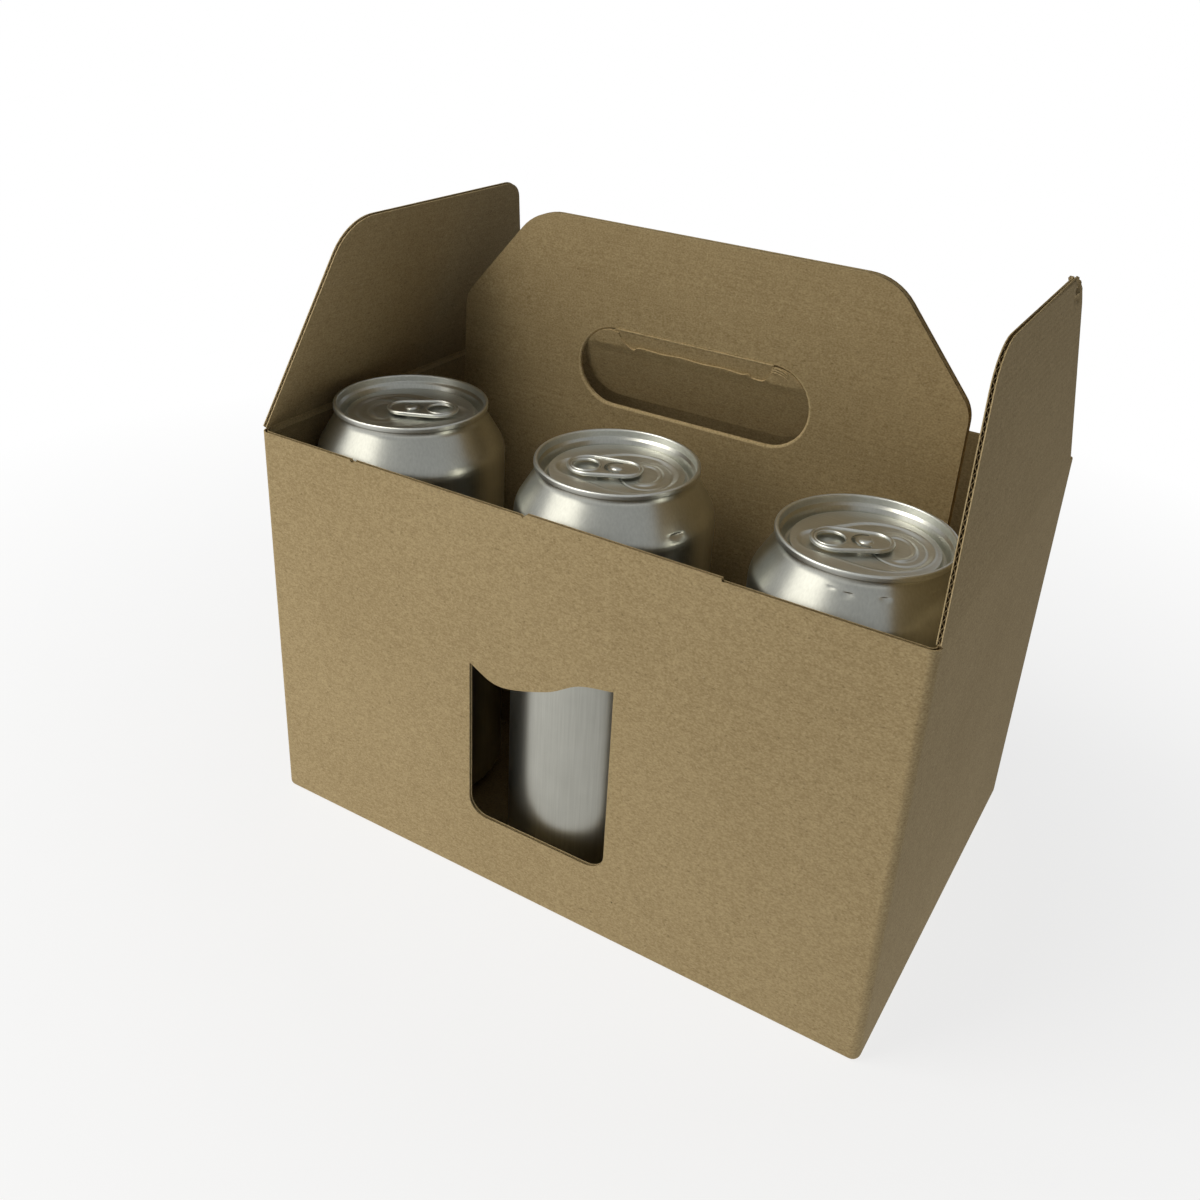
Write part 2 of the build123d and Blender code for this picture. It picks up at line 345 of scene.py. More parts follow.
class Shading:
    """A node tree being wired up."""

    def __init__(self, owner):
        owner.use_nodes = True
        self.tree = owner.node_tree

    def node(self, kind, settings, sockets):
        """One node: its settings first, then the values or wires of its sockets."""
        node = self.tree.nodes.new(kind)
        for name, value in settings.items():
            setattr(node, name, value)
        for name, value in sockets.items():
            self.plug(node.inputs[name], value)
        return Wire(self, node.outputs[0])

    def plug(self, socket, value):
        if isinstance(value, Wire):
            self.tree.links.new(value.socket, socket)
        else:
            socket.default_value = value

    def surface(self, **sockets):
        """Values or wires for the Principled shader, with _ for a space in a socket's name."""
        shader = self.tree.nodes["Principled BSDF"]
        for name, value in sockets.items():
            self.plug(shader.inputs[name.replace("_", " ")], value)

    def speckle(self, place, scale, detail, stretch=(1, 1, 1)):
        """Noise of a number of lumps to the metre, drawn out along the axes of a small stretch."""
        drawn = self.node("ShaderNodeVectorMath", {"operation": "MULTIPLY"}, {0: place, 1: stretch})
        return self.node("ShaderNodeTexNoise", {}, {"Vector": drawn, "Scale": scale, "Detail": detail})

    def between(self, value, low, high, to_low=0.0, to_high=1.0):
        """Carry a range of values over to another, held at its ends."""
        return self.node(
            "ShaderNodeMapRange", {"clamp": True},
            {"Value": value, "From Min": low, "From Max": high, "To Min": to_low, "To Max": to_high},
        )

    def mixed(self, share, first, second):
        """Two colours mixed by a share."""
        return self.node("ShaderNodeMix", {"data_type": "RGBA"}, {0: share, 6: first, 7: second})[2]


def colour(red, green, blue):
    """A colour from 0 to 255, as light."""
    return (*[((c / 255 + 0.055) / 1.055) ** 2.4 for c in (red, green, blue)], 1.0)


def kraft(name, pale, deep):
    """Unbleached kraft paper: clouds, fibres and specks, with the flutes just showing through."""
    material = bpy.data.materials.new(name)
    shading = Shading(material)
    place = shading.node("ShaderNodeTexCoord", {}, {})["Object"]
    axes = shading.node("ShaderNodeSeparateXYZ", {}, {0: place})
    clouds = shading.speckle(place, 14, 3.0)
    mottle = shading.speckle(place, 260, 3.0)
    grain = shading.speckle(place, 1700, 2.0, stretch=(0.8, 0.8, 1.2))
    ripples = axes["Z"] * (math.tau / FLUTE * 1000)
    wave = shading.node("ShaderNodeMath", {"operation": "SINE"}, {0: ripples})
    tone = 0.5 + (clouds - 0.5) * 0.5 + (mottle - 0.5) * 0.55 + (grain - 0.5) * 2.4 + wave * 0.05
    paper = shading.mixed(shading.between(tone, 0.0, 1.0), deep, pale)
    dark_fibres = shading.speckle(place, 900, 1.0, stretch=(0.7, 0.7, 1.2))
    dark_flecks = shading.between(dark_fibres, 0.66, 0.76)
    paper = shading.mixed(dark_flecks * 0.3, paper, colour(84, 66, 38))
    pale_fibres = shading.speckle(place, 1100, 1.0, stretch=(1.2, 0.7, 0.8))
    pale_flecks = shading.between(pale_fibres, 0.68, 0.76)
    paper = shading.mixed(pale_flecks * 0.3, paper, colour(214, 196, 158))
    specks = shading.node("ShaderNodeTexVoronoi", {}, {"Vector": place, "Scale": 45})
    speck = shading.between(specks["Distance"], 0.012, 0.022, 0.7, 0.0)
    paper = shading.mixed(speck, paper, colour(52, 38, 22))
    height = wave * 0.00001 + grain * 0.00002 + mottle * 0.000012
    bump = shading.node("ShaderNodeBump", {}, {"Strength": 1.0, "Distance": 1.0, "Height": height})
    shading.surface(
        Base_Color=paper, Roughness=shading.between(grain, 0.2, 0.8, 0.82, 0.95), Normal=bump,
        Specular_IOR_Level=0.25,
    )
    return material


liner_paper = kraft("kraft_liner", colour(182, 161, 120), colour(152, 131, 92))
fluting_paper = kraft("fluting_paper", colour(160, 140, 104), colour(124, 106, 74))
creased_paper = kraft("creased_liner", colour(212, 190, 146), colour(180, 158, 114))

wall_line = FoldedLine(
    [
        (-half_length + BOARD + LAP_WIDTH, half_width - BOARD - LAP_GAP),
        (-half_length, half_width - BOARD - LAP_GAP),
        (-half_length, -half_width),
        (half_length, -half_width),
        (half_length, half_width),
        (-half_length + REAR_EDGE_INSET, half_width),
    ],
    [LAP_FOLD, WALL_FOLD, WALL_FOLD, WALL_FOLD],
)
lap_fold, front_left_fold, front_right_fold = wall_line.folds[:3]


def wall_place(u, v, depth):
    """A point of the folded walls, from its length round them, height and depth from the outside."""
    return (*wall_line.at(u, depth), v)


def front(x):
    """The length round the walls at which the front wall reaches x."""
    return front_left_fold[1] + x + half_length - WALL_FOLD


lap_foot = BOARD + LAP_MARGIN
lap_top = rim - LAP_MARGIN
crease_foot = rim - CREASE_REACH
left_crease_end = lap_fold[1] + wall_line.at(lap_fold[1]).y - FLAP_REAR
right_crease_end = front_right_fold[1] + FLAP_REAR + half_width - WALL_FOLD
wall_outline = [
    (0, lap_foot + LAP_TAPER), (lap_fold[0], lap_foot), (lap_fold[0], BASE_FOLD),
    (wall_line.length, BASE_FOLD), (wall_line.length, rim),
    (right_crease_end, rim), (right_crease_end, crease_foot),
    (front_right_fold[1], crease_foot), (front_right_fold[1], rim),
    *[(front(x), rim + rise) for x, rise in [*RIM_BREAK, *RIM_NICK]],
    (front_left_fold[0], rim), (front_left_fold[0], crease_foot),
    (left_crease_end, crease_foot), (left_crease_end, rim),
    (lap_fold[1], rim), (lap_fold[1], lap_top), (lap_fold[0], lap_top), (0, lap_top - LAP_TAPER),
]
window_wave = smooth(WINDOW_WAVE)
window_sides = FoldedLine(
    [window_wave[-1], (WINDOW_LEFT, WINDOW_FOOT), (WINDOW_RIGHT, WINDOW_FOOT), window_wave[0]],
    [WINDOW_CORNER, WINDOW_CORNER],
).points()
window = [(front(x), z) for x, z in [*window_wave, *window_sides[1:-1]]]
wall_rows = [BASE_FOLD, *range(8, 146, 12), lap_top, rim]
wall_grid = [(u, v) for u in wall_line.bends() for v in wall_rows]
carton_walls = corrugated(
    "carton_walls", [wall_outline, window], wall_place, wall_grid,
    whole=[(rim - SEEN_DEPTH, rim + 1), WINDOW_FOOT_BAND, WINDOW_WAVE_BAND], bends=wall_line.bends(),
)
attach(carton_walls, "carrier")
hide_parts("carton")


# Carton base. The same sheet of board, turned under along the foot of each wall into one flat floor,
# which carries the handle's feet and the cans.
LAP_CORNER = 1.0
LEAST_CORNER = 0.3


def base_loop(inset, height):
    """The carton's outline drawn in by an inset, at a height."""
    x = half_length - inset
    y = half_width - inset
    corners = [(-x, -y), (x, -y), (x, y), (-x, y)]
    folds = [WALL_FOLD, WALL_FOLD, WALL_FOLD, LAP_CORNER]
    radii = [max(fold - inset, LEAST_CORNER) for fold in folds]
    return [(*point, height) for point in rounded(corners, radii)]


base_turn = [math.radians(angle) for angle in range(0, 91, 10)]
base_rings = [base_loop(LINER, BOARD), base_loop(LINER, BASE_FOLD)]
for a in base_turn:
    base_rings.append(base_loop(BASE_FOLD * (1 - math.cos(a)), BASE_FOLD * (1 - math.sin(a))))
base_mesh = bmesh.new()
tube(base_mesh, base_rings, closed=False)
carton_base = finished("carton_base", base_mesh, liner_paper)
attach(carton_base, "carrier")


# End flaps. Each is the end wall's own board carried on above a crease, with rounded upper corners and
# its fluting open along the slanted edges. The right one has its upper rear corner crushed by knocks.
FLAP_HEIGHT = 76.0
FLAP_FRONT = -79.9
FLAP_FRONT_SLOPE = 16.2
FLAP_REAR_SLOPE = 26.0
FLAP_FRONT_CORNER = 16.0
FLAP_REAR_CORNER = 12.0
CREASE_OUTSET = 0.2
CRUSH_REACH = 11.0
CRUSH_PUSH = 3.4
CRUSH_BUCKLE = 0.5
CRUSH_SPREAD = 0.5
CRUSH_DROP = 1.0
CRUSH_RAGGED = 1.6
CRUSH_STEP = 0.9
flap_leans = {"left": math.radians(17.2), "right": math.radians(3.0)}
flap_sides = {"left": -1, "right": 1}
flap_top_front = FLAP_FRONT + FLAP_HEIGHT * math.tan(math.radians(FLAP_FRONT_SLOPE))
flap_top_rear = FLAP_REAR - FLAP_HEIGHT * math.tan(math.radians(FLAP_REAR_SLOPE))
flap_foot_front = FLAP_FRONT + CREASE_REACH * math.tan(math.radians(FLAP_FRONT_SLOPE))
flap_foot_rear = FLAP_REAR - CREASE_REACH * math.tan(math.radians(FLAP_REAR_SLOPE))
flap_outline = rounded(
    [
        (flap_foot_front, CREASE_REACH), (flap_foot_rear, CREASE_REACH),
        (flap_top_rear, FLAP_HEIGHT), (flap_top_front, FLAP_HEIGHT),
    ],
    [0.0, 0.0, FLAP_REAR_CORNER, FLAP_FRONT_CORNER],
)
crush_middle = Vector((flap_top_rear - 2.0, FLAP_HEIGHT - 1.0))
crush_stations = [flap_top_rear + 6 - CRUSH_STEP * k for k in range(22)]
crush_grid = [(u, FLAP_HEIGHT - 0.5 - CRUSH_STEP * k) for u in crush_stations for k in range(14)]


def flap_place(end):
    """Where a flap's board goes, from its place along the crease, height above it and depth."""
    side = flap_sides[end]
    sine = math.sin(flap_leans[end])
    cosine = math.cos(flap_leans[end])

    def place(u, v, depth):
        out = -CREASE_OUTSET - depth
        if end == "right":
            near = max(0.0, 1 - (Vector((u, v)) - crush_middle).length / CRUSH_REACH)
            lump = abs(noise.noise(Vector((u * 0.3, v * 0.3, depth * 0.4))))
            ragged = noise.noise(Vector((u * 0.8, 4.0, depth)))
            buckle = abs(math.sin(u * 0.7 + v / 2))
            out -= near * (CRUSH_PUSH * lump + CRUSH_BUCKLE * buckle + CRUSH_SPREAD * depth)
            v -= near * (CRUSH_DROP + CRUSH_RAGGED * ragged)
        x = out * cosine - v * sine
        z = out * sine + v * cosine
        return (side * (half_length + CREASE_OUTSET + x), u, rim + z)

    return place


for end in flap_sides:
    crushed = end == "right"
    flap = corrugated(
        f"{end}_flap_board", [flap_outline], flap_place(end), crush_grid if crushed else (),
        whole=[(FLAP_HEIGHT - SEEN_DEPTH, FLAP_HEIGHT)], bends=sorted(crush_stations) if crushed else (),
    )
    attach(flap, f"{end}_flap")
    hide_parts(f"{end}_end_flap")


# Flap creases. The board is scored along each end wall's top and gives there as the flap turns, its
# fluting crushed between the liners.
CREASE_HALF = 0.8
CREASE_OVERLAP = 0.02
CREASE_TIP = 0.1


def eased(value, low, high):
    """0 below a range, 1 above it, and a smooth rise between."""
    share = min(1.0, max(0.0, (value - low) / (high - low)))
    return share * share * (3 - 2 * share)


def crease_place(end):
    """Where the crushed board goes: with the wall below the crease and with the flap above it."""
    side = flap_sides[end]
    flap = flap_place(end)

    def place(u, v, depth):
        wall = Vector((side * (half_length - depth), u, rim + v))
        return wall.lerp(Vector(flap(u, v, depth)), eased(v, -CREASE_HALF, CREASE_HALF))

    return place


crease_front = WALL_FOLD - half_width - CREASE_OVERLAP
crease_outline = [
    (crease_front, -CREASE_REACH), (FLAP_REAR, -CREASE_REACH), (FLAP_REAR, 0),
    (flap_foot_rear, CREASE_REACH), (flap_foot_front, CREASE_REACH), (crease_front, CREASE_TIP),
]
crease_grid = [(u, 0.2 * v) for u in range(-76, 74, 10) for v in range(-8, 9)]
for end in flap_sides:
    flat, faces = filled([crease_outline], crease_grid)
    crease_mesh = bmesh.new()
    slab(crease_mesh, flat, faces, crease_place(end), 0.0, BOARD, under_material=1)
    crease = finished(f"{end}_flap_crease_board", crease_mesh, liner_paper, creased_paper)
    line = flap_sides[end] * half_length / 1000
    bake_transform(crease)


# Handle leaves. Two sheets of the same board stand back to back along the middle, each folded at its foot
# and laid out on the base, with a hand hole cut through both.
HANDLE_LEAN = math.tan(math.radians(2.2))
HANDLE_RISE = 70.5
HANDLE_HALF = 97.0
SHOULDER_RISE = 34.5
SHOULDER_SLOPE = math.tan(math.radians(50))
SHOULDER_ROUND = 12.0
TOP_ROUND = 20.0
TOP_EDGE_HALF = 57.4
LEAF_GAP = 0.6
LEAF_FOLD = 2.0
LEAF_SPARE = 20.0
FOOT_CLEARANCE = 0.8
HOLE_RISE = 20.3
HOLE_HALF_WIDTH = 44.75
HOLE_HALF_HEIGHT = 14.0
HOLE_FLAT = 0.01
HOLE_SEEN = 3.0
LIP_WIDTH = 0.9
LIP_SECTION = [
    (1.3, 0.02), (0.9, 0.02), (0.55, 0.1), (0.28, 0.26), (0.1, 0.46), (0.06, 0.56),
    (0.5, 0.62), (0.5, 0.92), (0.06, 0.98), (0.0, 1.2), (0.2, 1.44), (1.3, 1.46),
]
hole_middle = rim + HOLE_RISE
shoulder = rim + SHOULDER_RISE
handle_top = rim + HANDLE_RISE
handle_half_top = HANDLE_HALF - (handle_top - shoulder) / SHOULDER_SLOPE
foot_half = half_length - BOARD - FOOT_CLEARANCE


def leaf_line(side):
    """A leaf and its foot seen from the end, along the middle of the board."""
    level = 1.5 * BOARD
    middle = side * (BOARD + LEAF_GAP) / 2
    foot_end = side * (half_width - BOARD - FOOT_CLEARANCE)
    top = handle_top + LEAF_SPARE
    return FoldedLine(
        [(foot_end, level), (middle + level * HANDLE_LEAN, level), (middle + top * HANDLE_LEAN, top)],
        [LEAF_FOLD],
    )


def hole_loop(low, high, margin):
    """The round-ended outline of the hand hole, larger all round by a margin."""
    wide = HOLE_HALF_WIDTH + margin
    low -= margin
    high += margin
    corners = [(-wide, low), (wide, low), (wide, high), (-wide, high)]
    return rounded(corners, [(high - low) / 2 - HOLE_FLAT] * 4)


def leaf_board(name, side, hole_margin):
    """One leaf with its foot, and the pale rolled lip that the cutting rule pressed round its hole."""
    line = leaf_line(side)
    fold, upright = line.folds[0]

    def up(z):
        return upright + (z - line.at(upright).y) * math.sqrt(1 + HANDLE_LEAN**2)

    def place(u, v, depth):
        return (u, *line.at(v, side * (depth - BOARD / 2)))

    top = up(handle_top)
    outline = rounded(
        [
            (-foot_half, 0), (foot_half, 0), (foot_half, fold), (HANDLE_HALF, fold),
            (HANDLE_HALF, up(shoulder)), (handle_half_top, top),
            (-handle_half_top, top), (-HANDLE_HALF, up(shoulder)),
            (-HANDLE_HALF, fold), (-foot_half, fold),
        ],
        [0.0, 0.0, 0.0, 0.0, SHOULDER_ROUND, TOP_ROUND, TOP_ROUND, SHOULDER_ROUND, 0.0, 0.0],
    )
    low = up(hole_middle - HOLE_HALF_HEIGHT)
    high = up(hole_middle + HOLE_HALF_HEIGHT)
    grid = [(x, bend) for x in range(-96, 97, 16) for bend in line.bends()]
    hole_bands = [(level - HOLE_SEEN, level + HOLE_SEEN) for level in (low, high)]
    board = corrugated(
        f"{name}_leaf_board", [outline, hole_loop(low, high, hole_margin + LIP_WIDTH)], place, grid,
        whole=[(top - SEEN_DEPTH, top), *hole_bands], crushed=[(-TOP_EDGE_HALF, TOP_EDGE_HALF, top)],
    )
    lip_mesh = bmesh.new()
    rings = [
        [place(*point, depth) for point in hole_loop(low, high, hole_margin + reach)]
        for reach, depth in LIP_SECTION
    ]
    tube(lip_mesh, rings, closed=True)
    lip = finished(f"{name}_hole_lip", lip_mesh, creased_paper)
    return board, lip


for name, side, margin in (("front", -1, 0.0), ("rear", 1, 1.0)):
    board, lip = leaf_board(name, side, margin)
    for piece in (board, lip):
        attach(piece, "carrier")
    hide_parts(f"{name}_handle_leaf")


# Grip flap. The hand hole's own board is pushed back behind it and hangs from a crease along its straight
# upper edge. The front liner has torn along a second crease and leaves a narrow band with ragged ends.
GRIP_KERF = 0.02
GRIP_BAND = 5.5
GRIP_BAND_SLOPE = math.tan(math.radians(8))
GRIP_DROP = 22.5
GRIP_DROP_SLOPE = math.tan(math.radians(18))
GRIP_FOLD = 1.0
GRIP_ROUND = 13.6
GRIP_TOP = 0.2
TEAR_LEVEL = 5.4
TEAR_REACH = 3.0
TEAR_LIFT = 1.2
TORN_FRONT = -0.4
TORN_BACK = -0.02
RIDGE_RAGGED = 0.6
TEAR_POINTS = [
    (-29.6, 0.9), (-28.9, 2.6), (-26.6, 4.6), (-23.6, 6.0), (-21.8, 5.2), (-19.0, 5.0),
    (-12.0, 5.3), (-4.0, 4.9), (4.0, 5.3), (12.0, 5.0), (19.0, 5.4), (21.5, 4.9),
    (23.0, 5.8), (26.6, 6.0), (28.6, 4.6), (29.4, 2.8), (30.4, 2.4), (30.8, 0.9),
]
hole_top = hole_middle + HOLE_HALF_HEIGHT
grip_middle = -(BOARD + LEAF_GAP) / 2 + hole_top * HANDLE_LEAN
grip_bend = grip_middle + GRIP_BAND * GRIP_BAND_SLOPE
grip_line = FoldedLine(
    [
        (grip_middle, hole_top),
        (grip_bend, hole_top - GRIP_BAND),
        (grip_bend + GRIP_DROP * GRIP_DROP_SLOPE, hole_top - GRIP_BAND - GRIP_DROP),
    ],
    [GRIP_FOLD],
)


def grip_place(u, v, depth):
    """A point of the grip flap, from its place along the crease, drop below it and depth."""
    return (u, *grip_line.at(v, depth - BOARD / 2))


grip_wide = HOLE_HALF_WIDTH - GRIP_KERF
grip_tall = HOLE_HALF_HEIGHT * 2 - GRIP_KERF
grip_end = FoldedLine(
    [(0, grip_tall), (-grip_wide, grip_tall), (-grip_wide, GRIP_TOP), (0, GRIP_TOP)],
    [GRIP_ROUND, GRIP_ROUND],
)
left_side = [tuple(point) for point in grip_end.points()[:-1]]
right_side = [(-u, v) for u, v in reversed(left_side)]
grip_flap = corrugated(
    "grip_flap_board", [[*left_side, *right_side[:-1]]], grip_place,
    [(x, bend) for x in range(-40, 41, 8) for bend in grip_line.bends()],
    whole=[(0, HOLE_SEEN), (grip_tall - HOLE_SEEN, grip_tall)],
)
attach(grip_flap, "carrier")

torn_loop = [*left_side[:-1], *smooth(TEAR_POINTS, 5), *right_side[1:-1]]


def torn_place(u, v, depth):
    """The torn liner lies on the flap and stands off it along the tear."""
    away = min(abs(v - TEAR_LEVEL), TEAR_REACH)
    return grip_place(u, v, depth * (1.0 + TEAR_LIFT * (1 - away / TEAR_REACH)))


liner_mesh = bmesh.new()
torn_grid = [(x, v) for x in range(-42, 43, 4) for v in (5.5, 6.2, 7, 8, 9, 14, 20)]
flat, faces = filled([torn_loop], torn_grid)
slab(liner_mesh, flat, faces, torn_place, TORN_FRONT, TORN_BACK, edge_material=1)


def ridge(path, thick, lift):
    """A ragged ridge of broken paper along a path on the flap, lifted off its front."""
    rings = []
    for u, v in path:
        size = thick * (1 + RIDGE_RAGGED * noise.noise(Vector((u, v, thick))))
        turns = [math.tau * k / 8 for k in range(8)]
        rings.append([grip_place(u, v + size * math.cos(a), -lift - size * math.sin(a)) for a in turns])
    tube(liner_mesh, rings, closed=False, material=1)


ridge([(0.5 * k, -0.15) for k in range(-62, 62)], thick=0.3, lift=-0.1)
for k in range(3):
    layer = [
        (30.2, 0.4 + 0.8 * k), (32.0, 0.3 + 0.85 * k), (34.4, 0.9 + 0.9 * k), (36.0, 1.8 + 0.9 * k),
    ]
    ridge(smooth(layer), thick=0.24, lift=0.6)
torn_liner = finished("grip_flap_torn_liner", liner_mesh, liner_paper, creased_paper)
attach(torn_liner, "carrier")


# Drink cans. Bare aluminium, drawn and necked in, each closed by a seamed end with a riveted stay-on tab.
# They are sealed and plain and stand in the front row on the leaf's foot. Knocks have dented two of their
# shoulders: each dent has an angle from +X, the height of its upper edge and a size.
CAN_HEIGHT = 157.0
CAN_RADIUS = 33.1
NECK_RADIUS = 25.9
RIM_RADIUS = 27.0
SEAM_LEVEL = 154.6
END_RADIUS = 23.7
PANEL_RADIUS = 22.2
PANEL_EDGE = 0.8
PANEL_DROP = 4.0
FIELD_TAIL = (-12.5, 7.0)
FIELD_NOSE = (4.5, 15.0)
FIELD_SINK = 0.5
FIELD_BEAD = 0.12
SCORE_DEPTH = 0.22
MOUTH_BEAD = 0.4
WELL_SINK = 0.5
TAB_RISE = 0.95
TAB_WIRE = 0.75
TAB_WEB = 0.18
WEB_INSET = 0.6
TAB_TAIL = (-8.8, 7.8)
TAB_NOSE = (2.2, 6.4)
FINGER_MIDDLE = -10.2
FINGER_ROUND = 4.7
FINGER_WIRE = 0.5
RIVET_WINDOW = 4.3
RIVET_LAND = 3.1
SLOT_START = 70
SLOT_SWEEP = 220
RIVET_PROFILE = [(0.02, 0.75), (1.3, 0.7), (2.1, 0.35), (2.4, -0.1), (2.4, -1.6)]
CAN_STEPS = 216
SHOULDER_FOLD = 5
SHOULDER_RINGS = 54
PANEL_RINGS = 58
KNOCK_LENGTH = 1.7
KNOCK_EDGE = 0.4
KNOCK_HEIGHT = 1.3
KNOCK_DEPTH = 0.36
can_knocks = {
    "left": [],
    "middle": [(338, 144.3, 1.7)],
    "right": [(271, 151.5, 0.6), (281, 151.1, 1.2), (302, 151.0, 1.0), (336, 151.1, 1.1)],
}
can_panel = CAN_HEIGHT - PANEL_DROP
can_line = FoldedLine(
    [
        (0.01, 10.5), (14.0, 9.0), (22.4, 4.5), (23.2, 0.0), (24.8, 0.0), (CAN_RADIUS, 5.6),
        (CAN_RADIUS, 141.0), (NECK_RADIUS, 153.3), (NECK_RADIUS, 154.9), (RIM_RADIUS, 155.0),
        (RIM_RADIUS, CAN_HEIGHT), (25.7, CAN_HEIGHT), (25.5, 154.6), (24.7, 153.7),
        (23.6, 150.8), (22.6, 150.8), (PANEL_RADIUS, can_panel), (PANEL_RADIUS - PANEL_EDGE, can_panel),
    ],
    [20.0, 4.0, 0.7, 0.7, 5.0, 10.0, 4.5, 0.3, 0.4, 0.62, 0.62, 0.5, 0.5, 0.45, 0.45, 0.3],
)
shoulder_foot = sum(can_line.folds[SHOULDER_FOLD]) / 2
shoulder_length = can_line.folds[SHOULDER_FOLD + 1][0] - shoulder_foot
can_stations = {0.0, can_line.length, *[round(bend, 6) for bend in can_line.bends(6)]}
for k in range(SHOULDER_RINGS):
    can_stations.add(shoulder_foot + shoulder_length * (k + 0.5) / SHOULDER_RINGS)
can_profile = [can_line.at(station) for station in sorted(can_stations)]


def pear_reach(x, y, tail, nose):
    """How far outside the outline round two circles on the X axis a point lies."""
    gap = nose[0] - tail[0]
    slope = (tail[1] - nose[1]) / gap
    run = math.sqrt(1 - slope**2)
    across = abs(y)
    along = x - tail[0]
    part = along * run - across * slope
    if part < 0:
        return math.hypot(along, across) - tail[1]
    if part > run * gap:
        return math.hypot(along - gap, across) - nose[1]
    return across * run + along * slope - tail[1]


def panel_height(x, y):
    """The pressed relief of a can end: the field round the tab, the scored mouth, a bead and a well."""
    field = pear_reach(x, y, FIELD_TAIL, FIELD_NOSE)
    height = -FIELD_SINK * (1 - eased(field, -0.9, 0.5))
    height += FIELD_BEAD * (1 - eased(abs(field - 0.7), 0.0, 0.5))
    score = abs(math.hypot((x - 9.6) / 8.6, y / 11.4) - 1) * 9
    height -= SCORE_DEPTH * (1 - eased(score, 0.15, 0.5))
    bead = abs(math.hypot((x - 9.0) / 5.4, y / 7.6) - 1) * 6
    height += MOUTH_BEAD * (1 - eased(bead, 0.2, 1.1)) * eased(x, 6.0, 10.0)
    well = math.hypot(x + 14.0, y)
    return height - WELL_SINK * (1 - eased(well, 2.0, 5.5))


def ring_of(radius, height, steps=CAN_STEPS):
    """Points round a circle at one height."""
    turns = [math.tau * k / steps for k in range(steps)]
    return [(radius * math.cos(a), radius * math.sin(a), height) for a in turns]


def panel_ring(radius):
    """Points round the can's end, at the heights of its relief."""
    return [(x, y, can_panel + panel_height(x, y)) for x, y, _ in ring_of(radius, 0.0)]


def wall_ring(radius, height, knocks):
    """Points round the can's wall, pressed in where it was knocked."""
    ring = []
    for x, y, z in ring_of(radius, height):
        pressed = 0.0
        for angle, level, size in knocks:
            turn = math.remainder(math.atan2(y, x) - math.radians(angle), math.tau)
            along = radius * abs(turn) / size
            below = (level - z) / size
            upright = min(below / KNOCK_EDGE, 1 - (below - KNOCK_EDGE) / KNOCK_HEIGHT)
            pressed = max(pressed, size * max(upright, 0) * (1 - (along / KNOCK_LENGTH) ** 2))
        inwards = 1 - KNOCK_DEPTH * pressed / radius
        ring.append((x * inwards, y * inwards, z))
    return ring


def rod(mesh, path, thickness):
    """A round wire along a closed path of points."""
    path = [Vector(point) for point in path]
    rings = []
    for before, here, after in zip([path[-1], *path], path, [*path[1:], path[0]]):
        way = (after - before).normalized()
        side = Vector((-way.y, way.x, 0)).normalized()
        up = side.cross(way)
        turns = [math.tau * k / 10 for k in range(10)]
        rings.append([here + thickness * (side * math.cos(a) + up * math.sin(a)) for a in turns])
    tube(mesh, rings, closed=True)


def pear_outline(tail, nose, inset, height):
    """Points round the outline of two circles on the X axis, drawn in by an inset."""
    turn = math.acos((tail[1] - nose[1]) / (nose[0] - tail[0]))
    points = []
    for place, radius, start, sweep in ((*nose, -turn, 2 * turn), (*tail, turn, math.tau - 2 * turn)):
        reach = radius - inset
        for k in range(25):
            angle = start + sweep * k / 24
            points.append((place + reach * math.cos(angle), reach * math.sin(angle), height))
    return points


def aluminium(name, streaks, rough, tint):
    """Bare drawn aluminium with fine lines along the way it was worked."""
    material = bpy.data.materials.new(name)
    shading = Shading(material)
    place = shading.node("ShaderNodeTexCoord", {}, {})["Object"]
    lines = shading.speckle(place, 1500, 2.0, stretch=streaks)
    haze = shading.speckle(place, 90, 3.0)
    clean = shading.between(lines * 0.6 + haze * 0.4, 0.3, 0.7)
    tone = shading.mixed(clean, colour(*[c - 16 for c in tint]), colour(*tint))
    shading.surface(Base_Color=tone, Metallic=1.0, Roughness=rough)
    return material


can_wall_metal = aluminium("can_wall_metal", (1.0, 1.0, 0.03), 0.3, (206, 206, 197))
can_end_metal = aluminium("can_end_metal", (0.04, 1.0, 1.0), 0.36, (224, 225, 218))


def riveted_tab(mesh):
    """The stay-on tab: a curled edge and finger ring, the web between them, and the rivet."""
    tab_level = can_panel + TAB_RISE
    rod(mesh, pear_outline(TAB_TAIL, TAB_NOSE, TAB_WIRE, tab_level), TAB_WIRE)
    finger = [(FINGER_MIDDLE + x, y, z) for x, y, z in ring_of(FINGER_ROUND, tab_level, steps=40)]
    rod(mesh, finger, FINGER_WIRE)

    def place(u, v, depth):
        return (u, v, tab_level + depth)

    web = [point[:2] for point in pear_outline(TAB_TAIL, TAB_NOSE, WEB_INSET, 0)]
    hole = [point[:2] for point in finger]
    arc = [math.radians(SLOT_START + SLOT_SWEEP * k / 24) for k in range(25)]
    slot = [(RIVET_WINDOW * math.cos(a), RIVET_WINDOW * math.sin(a)) for a in arc]
    slot += [(RIVET_LAND * math.cos(a), RIVET_LAND * math.sin(a)) for a in reversed(arc)]
    flat, faces = filled([web, hole, slot], [])
    slab(mesh, flat, faces, place, TAB_WEB, -TAB_WEB)
    rivet = [ring_of(radius, tab_level + rise, steps=32) for radius, rise in RIVET_PROFILE]
    tube(mesh, rivet, closed=False)


